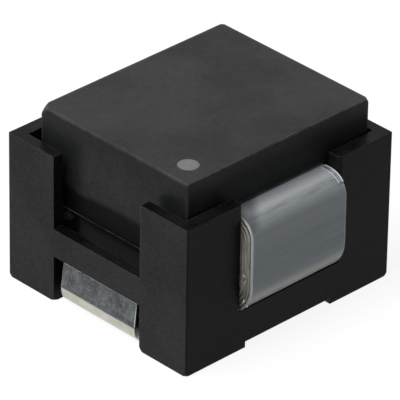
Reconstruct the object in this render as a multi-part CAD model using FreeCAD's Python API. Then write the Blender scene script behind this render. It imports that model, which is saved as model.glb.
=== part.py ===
"""Shielded surface-mount power inductor, piece by piece, in millimetres.

A copper foil roll is wound on a ferrite bar. Two ferrite halves close round it and stand
in a moulded header, with a tinned strip terminal at each end. X runs from the start
terminal to the finish terminal. Y runs from front to rear, through the two windows that
the roll comes out of, and Z points up. The origin is the middle of the footprint at
board level.
"""
import FreeCAD, Part

import math
import os

from FreeCAD import Vector

# Ferrite core
core_width = 10.26
yoke_thickness = 2.6
top_plate = 2.41
bottom_plate = 1.0
lower_half_height = 4.23
end_setback = 0.35
side_setback = 0.10
upper_corner_radius = 0.10
lower_corner_radius = 0.4
top_edge_radius = 0.06
worn_radius = 1.2
start_rear_wear = 0.25
finish_front_wear = 0.15
finish_rear_wear = 0.12
channel_corner_radius = 0.2
bond_thickness = 0.04
bond_inset = 0.15
bar_height = 2.44
bar_edge_radius = 0.2
spacer_thickness = 0.15
spacer_inset = 0.1

# Where the core sits in its play inside the header
core_shift_to_finish = 0.15
core_shift_to_front = 0.14
core_wall_clearance = 0.035

# Insulating tube between bar and roll
tube_wall = 0.18
tube_slide = 0.02
tube_proud = 0.03
tube_corner_radius = 0.35
tube_overhang = 0.05

# Foil roll, its films and its place in the channel
turns = 6
foil_thickness = 0.15
foil_width = 6.1
film_thickness = 0.05
film_overhang = 0.1
wrap_thickness = 0.10
wrap_overhang = 0.15
layer_clearance = 0.01
roll_lift = 0.045
roll_end_clearance = 0.165
roll_plate_clearance = 0.10
top_corner_start = 0.34
top_corner_growth = 0.10
bottom_corner_start = 0.59
step_half_length = 2.0
film_end_inset = 0.6
wrap_start_inset = 0.3
foil_end_angle = 50.0
wrap_end_angle = 46.0

# Start lead, from the inner end of the foil to its terminal
lead_thickness = 0.2
lead_width = 1.3
lead_clearance = 0.01
lead_wall_clearance = 0.04
lead_behind_post = 0.44
tongue_reach = 4.2

# Tail, from the outer end of the foil to its terminal
tail_width = 1.8
tail_side_inset = 0.1
tail_bend_radius = 0.15
tail_wall_clearance = 0.1

# Moulded header
end_wall = 0.6
side_wall = 0.75
standoff = 0.35
floor_thickness = 0.3
post_height = 8.2
window_clearance = 0.06
cradle_clearance = 0.06
notch_clearance = 0.45
end_rail_height = 1.53
tab_rail_clearance = 0.32
foot_gap_length = 5.84
outer_corner_radius = 0.06
foot_edge_radius = 0.05
foot_corner_radius = 0.7
foot_corner_wear = 0.12
window_edge_radius = 0.2
slot_clearance = 0.05

# Tinned strip terminals
terminal_width = 5.2
terminal_thickness = 0.3
terminal_bend_radius = 0.9
tab_height = 2.28
tab_recess = 0.08
tab_lean = 6.5
pad_reach = 3.3
arm_root = 1.2
arm_overlap = 1.0

# Solder and adhesive
solder_gap = 0.1
solder_margin = 0.05
solder_fillet = 0.07
solder_level_clearance = 0.02
lead_board_clearance = 0.05
bead_length = 1.5
bead_behind_post = 0.25
bead_head_clearance = 0.02

# Roll: layers, half sizes and levels
roll_pitch = foil_thickness + film_thickness + 2 * layer_clearance
film_offset = foil_thickness + layer_clearance
wrap_surface = film_offset + wrap_thickness
roll_build = (turns - 1) * roll_pitch + wrap_surface
film_width = foil_width + 2 * film_overhang
wrap_width = foil_width + 2 * wrap_overhang
core_front = core_width / 2 + core_shift_to_front
tube_half_width = core_front + tube_proud
tube_half_height = bar_height / 2 + tube_slide + tube_wall
lead_inner = tube_half_width + lead_clearance
lead_outer = lead_inner + lead_thickness
base_half_width = lead_outer + lead_clearance
base_half_height = tube_half_height + roll_lift
roll_half_height = base_half_height + roll_build

# Heights from the board up
floor_top = standoff + floor_thickness
bottom_plate_top = floor_top + bottom_plate
roll_level = bottom_plate_top + roll_plate_clearance + roll_half_height
roof_level = roll_level + roll_half_height + roll_plate_clearance
core_top = roof_level + top_plate
lower_top = floor_top + lower_half_height
upper_bottom = lower_top + bond_thickness
end_rail_bottom = tab_height + tab_rail_clearance
end_rail_top = end_rail_bottom + end_rail_height
tongue_low = roll_level - lead_width / 2
tongue_high = roll_level + lead_width / 2

# Half lengths and half widths from the middle out
channel_half = wrap_width / 2 + core_shift_to_finish + roll_end_clearance
core_half_length = channel_half + yoke_thickness
lower_half_length = core_half_length - end_setback
lower_half_width = core_width / 2 - side_setback
cavity_half_length = core_half_length + core_shift_to_finish + core_wall_clearance
cavity_half_width = lead_outer + lead_wall_clearance
header_half_length = cavity_half_length + end_wall
header_half_width = cavity_half_width + side_wall
window_half = wrap_width / 2 + window_clearance
notch_half = terminal_width / 2 + notch_clearance
bar_half_length = channel_half - spacer_thickness
bar_half_width = tube_half_width - tube_wall - tube_slide

# Terminals, lead and tail, as distances from the middle
bend_centre = header_half_length - tab_recess - terminal_bend_radius
pad_end = header_half_length - pad_reach
leg_near = window_half + lead_behind_post
leg_far = leg_near + lead_width
tail_outer = cavity_half_width - tail_wall_clearance
tail_inner = tail_outer - foil_thickness
tail_far = foil_width / 2 - tail_side_inset
tail_near = tail_far - tail_width
start_arm = (leg_near - solder_margin, leg_far + solder_margin)
finish_arm = (tail_near - solder_margin, pad_end + arm_overlap)
start_arm_end = lead_inner - solder_gap
finish_arm_end = tail_inner - solder_gap

along_x = Vector(1, 0, 0)
along_y = Vector(0, 1, 0)
along_z = Vector(0, 0, 1)
core_place = Vector(core_shift_to_finish, -core_shift_to_front, 0)
spare = 1.0


def box(x_low, x_high, y_low, y_high, z_low, z_high):
    """Box between two corners."""
    corner = Vector(x_low, y_low, z_low)
    return Part.makeBox(x_high - x_low, y_high - y_low, z_high - z_low, corner)


def centred_box(half_x, half_y, z_low, z_high):
    """Box centred on the Z axis."""
    return box(-half_x, half_x, -half_y, half_y, z_low, z_high)


def edges_along(shape, axis):
    """Straight edges of a shape that run along an axis."""
    found = []
    for edge in shape.Edges:
        if isinstance(edge.Curve, Part.Line) and abs(edge.Curve.Direction.dot(axis)) > 0.999:
            found.append(edge)
    return found


def at_level(edges, level):
    """Edges that lie wholly at one height."""
    return [edge for edge in edges if abs(edge.BoundBox.ZMin - level) + abs(edge.BoundBox.ZMax - level) < 1e-6]


def rounded_upright(half_x, half_y, z_low, z_high, radius):
    """Centred block with rounded upright edges."""
    block = centred_box(half_x, half_y, z_low, z_high)
    return block.makeFillet(radius, edges_along(block, along_z))


def rounded_bar(half_x, half_y, half_z, radius):
    """Bar along X, centred at roll level, with rounded long edges."""
    block = centred_box(half_x, half_y, roll_level - half_z, roll_level + half_z)
    return block.makeFillet(radius, edges_along(block, along_x))


def flat(y, z):
    """Straight run to a point in the roll's section."""
    return (None, Vector(0, y, z))


def turn_round(centre_y, centre_z, radius, start_angle, end_angle):
    """Arc in the roll's section, as its middle and end points."""
    points = []
    for angle in ((start_angle + end_angle) / 2, end_angle):
        across = radius * math.cos(math.radians(angle))
        up = radius * math.sin(math.radians(angle))
        points.append(Vector(0, centre_y + across, centre_z + up))
    return tuple(points)


def follow(start, steps):
    """Edges of a path, with its start and its end."""
    edges = []
    here = start
    for middle, there in steps:
        if middle is None:
            edges.append(Part.makeLine(here, there))
        else:
            edges.append(Part.Arc(here, middle, there).toShape())
        here = there
    return edges, start, here


def between(inner_path, outer_path, start, reach):
    """Band between two paths, moved to its start and drawn out by its reach."""
    inner_edges, inner_start, inner_end = inner_path
    outer_edges, outer_start, outer_end = outer_path
    caps = [Part.makeLine(inner_start, outer_start), Part.makeLine(inner_end, outer_end)]
    outline = Part.Wire(Part.__sortEdges__(inner_edges + outer_edges + caps))
    section = Part.Face(outline)
    section.translate(start)
    return section.extrude(reach)


def across_x(inner_path, outer_path, x_low, x_high):
    """Band between two paths of the roll's section, from one X to another."""
    return between(inner_path, outer_path, Vector(x_low, 0, 0), Vector(x_high - x_low, 0, 0))


class Turn:
    """One turn of the roll's section, at a distance outside the base rectangle."""

    def __init__(self, offset, number):
        reach = offset + number * roll_pitch
        self.side = base_half_width + reach
        self.top = roll_level + base_half_height + reach
        self.bottom = roll_level - base_half_height - reach
        self.top_radius = top_corner_start + number * top_corner_growth + offset
        self.bottom_radius = bottom_corner_start + number * roll_pitch + offset
        self.top_centre = self.top - self.top_radius
        self.bottom_centre = self.bottom + self.bottom_radius
        self.rear_top = self.side - self.top_radius
        self.rear_bottom = self.side - self.bottom_radius

    def climb(self):
        """From the step, along the bottom and round the front lower corner."""
        return [
            flat(-self.rear_bottom, self.bottom),
            turn_round(-self.rear_bottom, self.bottom_centre, self.bottom_radius, 270, 180),
        ]

    def over(self):
        """Up the front, over the top and down the rear."""
        return [
            flat(-self.side, self.top_centre),
            turn_round(-self.rear_top, self.top_centre, self.top_radius, 180, 90),
            flat(self.rear_top, self.top),
            turn_round(self.rear_top, self.top_centre, self.top_radius, 90, 0),
            flat(self.side, self.bottom_centre),
        ]

    def rear_corner(self, start_angle, end_angle):
        """Round the rear lower corner, between two angles below the level."""
        return turn_round(self.rear_bottom, self.bottom_centre, self.bottom_radius, -start_angle, -end_angle)

    def step_out(self, outer):
        """Along the bottom and down to the next turn."""
        return [
            flat(step_half_length, self.bottom),
            flat(-step_half_length, outer.bottom),
        ]


def laps(offset, count):
    """Steps of whole turns, from the front to the rear lower corner."""
    steps = Turn(offset, 0).over()
    for number in range(1, count):
        inner = Turn(offset, number - 1)
        outer = Turn(offset, number)
        steps.append(inner.rear_corner(0, 90))
        steps += inner.step_out(outer) + outer.climb() + outer.over()
    return steps


def roll_start(offset):
    """Where the foil and its film begin, on the front over the lead's tongue."""
    return Vector(0, -Turn(offset, 0).side, tongue_low)


def foil_path(offset):
    """Foil surface, from its start to the rear lower corner of the last turn."""
    last = Turn(offset, turns - 1)
    return follow(roll_start(offset), laps(offset, turns) + [last.rear_corner(0, foil_end_angle)])


def film_path(offset):
    """Film surface, one turn fewer than the foil, with its end on the bottom."""
    last = Turn(offset, turns - 2)
    ending = [last.rear_corner(0, 90), flat(step_half_length + film_end_inset, last.bottom)]
    return follow(roll_start(offset), laps(offset, turns - 1) + ending)


def wrap_path(offset):
    """Wrap surface, from the bottom once round to the rear lower corner."""
    inner = Turn(offset, turns - 2)
    outer = Turn(offset, turns - 1)
    start = Vector(0, step_half_length + wrap_start_inset, inner.bottom)
    steps = inner.step_out(outer) + outer.climb() + outer.over()
    return follow(start, steps + [outer.rear_corner(0, wrap_end_angle)])


def tail_path(offset):
    """Tail surface, on round the rear corner and then bent down through the floor."""
    last = Turn(offset, turns - 1)
    foil_surface = Turn(foil_thickness, turns - 1)
    reach = foil_surface.bottom_radius + tail_bend_radius
    angle = math.acos((tail_outer + tail_bend_radius - last.rear_bottom) / reach)
    bend_y = last.rear_bottom + reach * math.cos(angle)
    bend_z = last.bottom_centre - reach * math.sin(angle)
    bend_angle = math.degrees(angle)
    bend_radius = tail_bend_radius + foil_thickness - offset
    start = last.rear_corner(0, foil_end_angle)[1]
    steps = [
        last.rear_corner(foil_end_angle, bend_angle),
        turn_round(bend_y, bend_z, bend_radius, 180 - bend_angle, 180),
        flat(bend_y - bend_radius, lead_board_clearance),
    ]
    return follow(start, steps)


def cradle():
    """Room for the roll's lower half in the side walls."""
    room = Turn(wrap_surface + cradle_clearance, turns - 1)
    start = Vector(0, -room.side, roll_level)
    steps = [
        flat(-room.side, room.bottom_centre),
        turn_round(-room.rear_bottom, room.bottom_centre, room.bottom_radius, 180, 270),
        flat(room.rear_bottom, room.bottom),
        turn_round(room.rear_bottom, room.bottom_centre, room.bottom_radius, -90, 0),
        flat(room.side, roll_level),
        (None, start),
    ]
    section = Part.Face(Part.Wire(follow(start, steps)[0]))
    section.translate(Vector(-window_half, 0, 0))
    return section.extrude(Vector(2 * window_half, 0, 0))


def off_corner(corner, inward, radius, wear):
    """What a ball-shaped rounding takes off a corner, measured along its diagonal."""
    middle = corner + inward * ((radius + wear) / math.sqrt(3))
    x_low, x_high = sorted((corner.x, middle.x))
    y_low, y_high = sorted((corner.y, middle.y))
    z_low, z_high = sorted((corner.z, middle.z))
    return box(x_low, x_high, y_low, y_high, z_low, z_high).cut(Part.makeSphere(radius, middle))


def make_header():
    """Moulded header: floor, four corner posts, rails, feet, slots for lead and tail."""
    solder_room = slot_clearance + solder_fillet
    block = rounded_upright(header_half_length, header_half_width, 0, post_height, outer_corner_radius)
    block = block.makeFillet(foot_edge_radius, at_level(block.Edges, 0))
    cuts = [
        centred_box(cavity_half_length, cavity_half_width, floor_top, post_height + spare),
        centred_box(header_half_length + spare, notch_half, end_rail_top, post_height + spare),
        centred_box(window_half, header_half_width + spare, roll_level, post_height + spare),
        cradle(),
        centred_box(header_half_length + spare, notch_half, -spare, standoff),
        centred_box(foot_gap_length / 2, header_half_width + spare, -spare, standoff),
        box(bend_centre, header_half_length + spare, -notch_half, notch_half, -spare, end_rail_bottom),
        box(-header_half_length - spare, -bend_centre, -notch_half, notch_half, -spare, end_rail_bottom),
        box(-start_arm[1] - slot_clearance, -start_arm[0] + slot_clearance,
            -lead_outer - solder_room, 0, -spare, standoff),
        box(finish_arm[0] - slot_clearance, finish_arm[1] + slot_clearance,
            0, tail_outer + solder_room, -spare, standoff),
        box(-leg_far - slot_clearance, -leg_near + slot_clearance,
            -cavity_half_width, -lead_inner + slot_clearance, 0, floor_top),
        box(tail_near - slot_clearance, tail_far + slot_clearance,
            tail_inner - slot_clearance, tail_outer + slot_clearance, 0, floor_top),
    ]
    for end_side in (-1, 1):
        for width_side in (-1, 1):
            outer = Vector(end_side * header_half_length, width_side * header_half_width, 0)
            beside_terminal = Vector(end_side * header_half_length, width_side * notch_half, 0)
            for corner, inward in ((outer, -width_side), (beside_terminal, width_side)):
                cuts.append(off_corner(corner, Vector(-end_side, inward, 1), foot_corner_radius, foot_corner_wear))
    header = block.cut(cuts)
    window_edges = []
    for edge in edges_along(header, along_z):
        middle = edge.CenterOfMass
        if abs(abs(middle.x) - window_half) + abs(abs(middle.y) - header_half_width) < 1e-6:
            window_edges.append(edge)
    return header.makeFillet(window_edge_radius, window_edges)


def worn_corner(end_side, width_side, wear):
    """What is rubbed off one top corner of the core."""
    corner = Vector(end_side * core_half_length, width_side * core_width / 2, core_top)
    return off_corner(corner, Vector(-end_side, -width_side, -1), worn_radius, wear)


def make_upper_core():
    """Ferrite block with a channel along Y for the roll."""
    block = rounded_upright(core_half_length, core_width / 2, upper_bottom, core_top, upper_corner_radius)
    block = block.makeFillet(top_edge_radius, at_level(block.Edges, core_top))
    channel = centred_box(channel_half, core_width, upper_bottom - spare, roof_level)
    roof_edges = at_level(edges_along(channel, along_y), roof_level)
    worn = [
        worn_corner(-1, 1, start_rear_wear),
        worn_corner(1, -1, finish_front_wear),
        worn_corner(1, 1, finish_rear_wear),
    ]
    block = block.cut([channel.makeFillet(channel_corner_radius, roof_edges)] + worn)
    return block.translated(core_place)


def make_lower_core():
    """Lower ferrite half, set back under the upper one."""
    block = rounded_upright(lower_half_length, lower_half_width, floor_top, lower_top, lower_corner_radius)
    channel = centred_box(channel_half, core_width, bottom_plate_top, lower_top + spare)
    plate_edges = at_level(edges_along(channel, along_y), bottom_plate_top)
    block = block.cut(channel.makeFillet(channel_corner_radius, plate_edges))
    return block.translated(core_place)


def make_centre_core():
    """Ferrite bar inside the roll."""
    bar = rounded_bar(bar_half_length, bar_half_width, bar_height / 2, bar_edge_radius)
    return bar.translated(Vector(core_shift_to_finish, 0, 0))


def make_gap_spacer(side):
    """Spacer between one end of the bar and its yoke."""
    half_width = bar_half_width - spacer_inset
    half_height = bar_height / 2 - spacer_inset
    plate = rounded_bar(spacer_thickness / 2, half_width, half_height, bar_edge_radius)
    middle = core_shift_to_finish + side * (channel_half - spacer_thickness / 2)
    return plate.translated(Vector(middle, 0, 0))


def make_core_bond(side):
    """Glue line between the two halves on one yoke."""
    near = channel_half + bond_inset
    far = lower_half_length - bond_inset
    half_width = lower_half_width - bond_inset
    layer = box(min(side * near, side * far), max(side * near, side * far),
                -half_width, half_width, lower_top, upper_bottom)
    return layer.translated(core_place)


def make_winding_tube():
    """Insulating tube round the bar."""
    half_length = wrap_width / 2 + tube_overhang
    bore_half_width = tube_half_width - tube_wall
    bore_half_height = tube_half_height - tube_wall
    outside = rounded_bar(half_length, tube_half_width, tube_half_height, tube_corner_radius)
    bore = rounded_bar(half_length + spare, bore_half_width, bore_half_height, tube_corner_radius - tube_wall)
    return outside.cut(bore)


def make_foil_winding():
    """Foil roll with a narrow tail at its outer end."""
    roll = across_x(foil_path(0), foil_path(foil_thickness), -foil_width / 2, foil_width / 2)
    tail = across_x(tail_path(0), tail_path(foil_thickness), tail_near, tail_far)
    return roll.fuse(tail).removeSplitter()


def make_interleaf_film():
    """Insulating film wound in with the foil."""
    outer = film_offset + film_thickness
    return across_x(film_path(film_offset), film_path(outer), -film_width / 2, film_width / 2)


def make_outer_wrap():
    """Clear film wrapped once round the roll."""
    return across_x(wrap_path(film_offset), wrap_path(wrap_surface), -wrap_width / 2, wrap_width / 2)


def make_start_lead():
    """Flat strip under the first turn, then down behind the front post."""
    tongue_end = tongue_reach - wrap_width / 2
    tongue = box(-leg_far, tongue_end, -lead_outer, -lead_inner, tongue_low, tongue_high)
    leg = box(-leg_far, -leg_near, -lead_outer, -lead_inner, lead_board_clearance, tongue_high)
    return tongue.fuse(leg).removeSplitter()


def strip_path(inset):
    """One surface of a terminal strip, from the tab's top round the bend to the pad's end."""
    radius = terminal_bend_radius - inset
    points = []
    for angle in (180 - tab_lean, 225 - tab_lean / 2):
        across = radius * math.cos(math.radians(angle))
        up = radius * math.sin(math.radians(angle))
        points.append(Vector(across - bend_centre, 0, up + terminal_bend_radius))
    bend_start, bend_middle = points
    rise = (tab_height - terminal_bend_radius) / math.cos(math.radians(tab_lean))
    lean = Vector(math.sin(math.radians(tab_lean)), 0, math.cos(math.radians(tab_lean)))
    bend_end = Vector(-bend_centre, 0, inset)
    steps = [(None, bend_start), (bend_middle, bend_end), (None, Vector(-pad_end, 0, inset))]
    return follow(bend_start + lean * rise, steps)


def make_terminal(arm, arm_end):
    """Strip bent under the start end, with an arm beside its pad that reaches the front."""
    half = terminal_width / 2
    strip = between(strip_path(0), strip_path(terminal_thickness), Vector(0, -half, 0), Vector(0, 2 * half, 0))
    plate = box(-arm[1], -arm[0], -arm_end, -arm_root, 0, terminal_thickness)
    return strip.fuse(plate).removeSplitter()


def to_rear(shape):
    """The same shape turned half round the Z axis."""
    return shape.rotated(Vector(0, 0, 0), along_z, 180)


def make_solder(arm_low, arm_high, y_low, y_high, joined):
    """Solder round a lead where it meets its terminal's arm."""
    low = solder_level_clearance
    high = terminal_thickness - solder_level_clearance
    return box(arm_low, arm_high, y_low, y_high, low, high).cut(joined)


def make_adhesive_bead(end_side, width_side):
    """Bead of adhesive between an end wall and the lower half of the core."""
    face = lower_half_length + end_side * core_shift_to_finish
    radius = (cavity_half_length - face) / 2
    middle_x = end_side * (cavity_half_length + face) / 2
    middle_y = width_side * (notch_half + bead_behind_post)
    middle_z = upper_bottom - bead_head_clearance - radius
    straight = bead_length / 2 - radius
    low_end = Vector(middle_x, middle_y - straight, middle_z)
    high_end = Vector(middle_x, middle_y + straight, middle_z)
    bead = Part.makeCylinder(radius, 2 * straight, low_end, along_y)
    return bead.fuse([Part.makeSphere(radius, low_end), Part.makeSphere(radius, high_end)]).removeSplitter()


def make_nodes():
    """Every node by its name."""
    foil = make_foil_winding()
    lead = make_start_lead()
    nodes = {
        "header": make_header(),
        "upper_core": make_upper_core(),
        "lower_core": make_lower_core(),
        "centre_core": make_centre_core(),
        "winding_tube": make_winding_tube(),
        "foil_winding": foil,
        "interleaf_film": make_interleaf_film(),
        "outer_wrap": make_outer_wrap(),
        "start_lead": lead,
        "start_terminal": make_terminal(start_arm, start_arm_end),
        "finish_terminal": to_rear(make_terminal(finish_arm, finish_arm_end)),
        "start_solder": make_solder(-start_arm[1], -start_arm[0], -lead_outer - solder_fillet,
                                    -start_arm_end, lead),
        "finish_solder": make_solder(finish_arm[0], tail_far + solder_margin, finish_arm_end,
                                     tail_outer + solder_fillet, foil),
    }
    for end_name, end_side in (("start", -1), ("finish", 1)):
        nodes[f"{end_name}_gap_spacer"] = make_gap_spacer(end_side)
        nodes[f"{end_name}_core_bond"] = make_core_bond(end_side)
        for width_name, width_side in (("front", -1), ("rear", 1)):
            nodes[f"{end_name}_{width_name}_adhesive_bead"] = make_adhesive_bead(end_side, width_side)
    return nodes


def write(shape, name):
    """One STEP file for one node."""
    shape.exportStep(f"parts/{name}.step")
    print(name, "solids", len(shape.Solids), "valid", shape.isValid(), "mm3", round(shape.Volume, 3))


def main():
    """Make every node and write it."""
    os.makedirs("parts", exist_ok=True)
    for name, shape in make_nodes().items():
        write(shape, name)


main()
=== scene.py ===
# %% [markdown]
# # A shielded inductor, dressed for its portrait
# A power inductor stores energy in a coil that is closed up in ferrite. This one is a flat roll of
# copper foil round a ferrite bar. Two grey ferrite halves close round the roll, and they stand in
# a black moulded header with a tinned strip bent under each end.
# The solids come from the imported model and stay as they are. This lesson gives them their
# finishes, and it makes again the pieces that a plain solid can't show: films and adhesive.

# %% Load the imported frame
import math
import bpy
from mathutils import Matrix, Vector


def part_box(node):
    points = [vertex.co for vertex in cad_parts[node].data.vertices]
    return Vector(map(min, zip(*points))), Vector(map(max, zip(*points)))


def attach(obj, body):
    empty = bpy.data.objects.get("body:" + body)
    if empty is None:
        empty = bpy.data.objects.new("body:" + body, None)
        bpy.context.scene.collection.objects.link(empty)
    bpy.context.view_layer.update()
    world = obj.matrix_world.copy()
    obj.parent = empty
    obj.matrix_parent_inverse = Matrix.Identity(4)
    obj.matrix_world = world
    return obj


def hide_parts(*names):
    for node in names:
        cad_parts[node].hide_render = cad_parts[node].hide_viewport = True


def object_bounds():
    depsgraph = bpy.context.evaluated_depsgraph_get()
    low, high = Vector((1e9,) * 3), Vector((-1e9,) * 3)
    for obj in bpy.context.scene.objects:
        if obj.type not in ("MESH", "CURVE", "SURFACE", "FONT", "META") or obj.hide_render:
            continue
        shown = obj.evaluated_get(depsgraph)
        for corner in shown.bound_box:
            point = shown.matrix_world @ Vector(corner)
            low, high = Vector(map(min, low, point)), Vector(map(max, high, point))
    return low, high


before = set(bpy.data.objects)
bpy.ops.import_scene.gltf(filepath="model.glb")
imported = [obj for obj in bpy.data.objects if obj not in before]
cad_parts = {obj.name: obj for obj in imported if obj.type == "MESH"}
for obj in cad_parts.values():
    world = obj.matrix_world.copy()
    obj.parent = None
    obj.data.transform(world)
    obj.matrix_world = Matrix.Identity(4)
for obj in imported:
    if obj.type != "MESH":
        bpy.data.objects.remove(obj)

# %% Tools for the lesson
from types import SimpleNamespace

import bmesh
import bpy
from mathutils import Quaternion, Vector, noise

mm = 0.001
cad_low, cad_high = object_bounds()
print("CAD box in mm:", [round(side / mm, 3) for side in cad_high - cad_low])

# %% [markdown]
# ## Camera
# The photograph was taken from far away with a long lens, from above one corner. A long lens keeps
# the upright edges almost parallel. It could be set by eye, but then nothing lines up, so the
# angles here come from measuring where known corners of the part land in the picture.

# %% Set up the camera
around = math.radians(225.639)
above = math.radians(30.968)
tilt = math.radians(0.956)
distance = 242.716 * mm
look_at = Vector((-0.155, -0.189, 4.5)) * mm
away = Vector((
    math.cos(above) * math.cos(around),
    math.cos(above) * math.sin(around),
    math.sin(above),
))
camera_data = bpy.data.cameras.new("camera")
camera_data.sensor_width = 36.0
camera_data.lens = 446.289
camera_data.clip_start = 10 * mm
camera_data.clip_end = 5.0
camera = bpy.data.objects.new("camera", camera_data)
camera.rotation_mode = "QUATERNION"
camera.rotation_quaternion = away.to_track_quat("Z", "Y") @ Quaternion((0, 0, 1), tilt)
camera.location = look_at + away * distance
bpy.context.scene.collection.objects.link(camera)
bpy.context.scene.camera = camera
print("camera at", [round(value / mm, 2) for value in camera.location], "mm")

# %% [markdown]
# ## Light
# Black plastic and dark ferrite show their shape only through soft light from one side. A wide
# lamp hangs high on the start side, so the top is brightest, the start end next, and the front
# stays dark. A second lamp, beside the camera and a little lower, is far weaker and fills the
# front and the start end. Small bright lamps would be easier to place, but they leave hard shadows
# and hot spots on the film.

# %% Hang two soft lamps
def hang_lamp(name, place, size, watts):
    """Square lamp that points at the part."""
    lamp_data = bpy.data.lights.new(name, "AREA")
    lamp_data.shape = "SQUARE"
    lamp_data.size = size
    lamp_data.energy = watts
    lamp = bpy.data.objects.new(name, lamp_data)
    lamp.location = place
    lamp.rotation_mode = "QUATERNION"
    lamp.rotation_quaternion = (place - look_at).to_track_quat("Z", "Y")
    bpy.context.scene.collection.objects.link(lamp)
    return lamp


hang_lamp("key_lamp", Vector((-85, 30, 200)) * mm, size=120 * mm, watts=0.46)
hang_lamp("fill_lamp", Vector((-120, -190, 95)) * mm, size=150 * mm, watts=0.05)

# %% [markdown]
# ## World and floor
# The background is plain white. If white light came from everywhere, it would wash out the dark
# faces. So the world is white only where the camera, a mirror or a clear piece looks at it, and
# it stays dim for the light that falls on things. The floor does the same and keeps a faint shadow.

# %% Tell apart who looks
def seen_directly(tree):
    """One where the camera, a reflection or something clear looks, and nought elsewhere."""
    path = tree.nodes.new("ShaderNodeLightPath")
    first = tree.nodes.new("ShaderNodeMath")
    first.operation = "MAXIMUM"
    second = tree.nodes.new("ShaderNodeMath")
    second.operation = "MAXIMUM"
    tree.links.new(path.outputs["Is Camera Ray"], first.inputs[0])
    tree.links.new(path.outputs["Is Glossy Ray"], first.inputs[1])
    tree.links.new(first.outputs[0], second.inputs[0])
    tree.links.new(path.outputs["Is Transmission Ray"], second.inputs[1])
    return second.outputs[0]


print("helper ready:", seen_directly.__name__)

# %% Make the world
light_on_things = 0.10
world = bpy.data.worlds.new("white_room")
world.use_nodes = True
bpy.context.scene.world = world
sky = world.node_tree.nodes["Background"]
sky.inputs["Color"].default_value = (1.0, 1.0, 1.0, 1.0)
dim = world.node_tree.nodes.new("ShaderNodeMapRange")
dim.inputs["To Min"].default_value = light_on_things
dim.inputs["To Max"].default_value = 1.0
world.node_tree.links.new(seen_directly(world.node_tree), dim.inputs["Value"])
world.node_tree.links.new(dim.outputs["Result"], sky.inputs["Strength"])
bpy.context.scene.view_settings.view_transform = "Standard"
print("world:", world.name)

# %% Lay the floor
floor_radius = 250 * mm
floor_drop = 0.002 * mm
floor_mesh = bpy.data.meshes.new("floor")
disc = bmesh.new()
bmesh.ops.create_circle(disc, cap_ends=True, segments=96, radius=floor_radius)
disc.to_mesh(floor_mesh)
disc.free()
floor = bpy.data.objects.new("floor", floor_mesh)
floor.location.z = cad_low.z - floor_drop
bpy.context.scene.collection.objects.link(floor)
print("floor radius in mm:", round(floor_radius / mm))

# %% Make the paper on the floor
paper_grey = 0.14
paper_glow = 0.90
paper = bpy.data.materials.new("white_paper")
paper.use_nodes = True
paper_shader = paper.node_tree.nodes["Principled BSDF"]
paper_shader.inputs["Base Color"].default_value = (paper_grey, paper_grey, paper_grey, 1.0)
paper_shader.inputs["Roughness"].default_value = 0.9
paper_shader.inputs["Specular IOR Level"].default_value = 0.0
paper_shader.inputs["Emission Color"].default_value = (1.0, 1.0, 1.0, 1.0)
glow = paper.node_tree.nodes.new("ShaderNodeMath")
glow.operation = "MULTIPLY"
glow.inputs[1].default_value = paper_glow
paper.node_tree.links.new(seen_directly(paper.node_tree), glow.inputs[0])
paper.node_tree.links.new(glow.outputs[0], paper_shader.inputs["Emission Strength"])
floor_mesh.materials.append(paper)
print("finished:", paper.name)

# %% [markdown]
# ## Shared effects
# Real finishes share a few small effects: a fine grain, soft patches, streaks along one direction
# and lighter edges, which are partly rubbed wear and partly painted highlight. Each effect is made
# once here, as a node group with named inputs, and every material sets its own values. All of them
# read the object's own coordinates in metres, so the scale is true on every piece.

# %% Helpers for node groups
def start_group(name, inputs, outputs):
    """Empty node group with its named sockets."""
    group = bpy.data.node_groups.new(name, "ShaderNodeTree")
    for title, kind, value in inputs:
        socket = group.interface.new_socket(title, in_out="INPUT", socket_type=kind)
        socket.default_value = value
    for title, kind in outputs:
        group.interface.new_socket(title, in_out="OUTPUT", socket_type=kind)
    given = group.nodes.new("NodeGroupInput").outputs
    put = group.nodes.new("NodeGroupOutput").inputs
    return group, given, put


def plug(tree, value, socket):
    """Link a socket, or set a plain number."""
    if isinstance(value, (int, float)):
        socket.default_value = value
    else:
        tree.links.new(value, socket)


def math_node(tree, operation, first, second=0.0):
    """Math node whose inputs are sockets or plain numbers."""
    node = tree.nodes.new("ShaderNodeMath")
    node.operation = operation
    plug(tree, first, node.inputs[0])
    plug(tree, second, node.inputs[1])
    return node.outputs[0]


def steps_between(tree, value, low, high, first=0.0, last=1.0):
    """Value brought smoothly from one range to another."""
    node = tree.nodes.new("ShaderNodeMapRange")
    node.interpolation_type = "SMOOTHSTEP"
    plug(tree, value, node.inputs["Value"])
    plug(tree, low, node.inputs["From Min"])
    plug(tree, high, node.inputs["From Max"])
    plug(tree, first, node.inputs["To Min"])
    plug(tree, last, node.inputs["To Max"])
    return node.outputs["Result"]


def own_place(tree):
    """The point on the object, in metres."""
    return tree.nodes.new("ShaderNodeTexCoord").outputs["Object"]


def noise_node(tree, place, scale, detail=2.0, rough=0.5):
    """Noise texture on a point, with a number or a socket for its scale."""
    node = tree.nodes.new("ShaderNodeTexNoise")
    node.inputs["Detail"].default_value = detail
    node.inputs["Roughness"].default_value = rough
    tree.links.new(place, node.inputs["Vector"])
    plug(tree, scale, node.inputs["Scale"])
    return node.outputs["Fac"]


print("helpers ready for groups")

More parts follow.
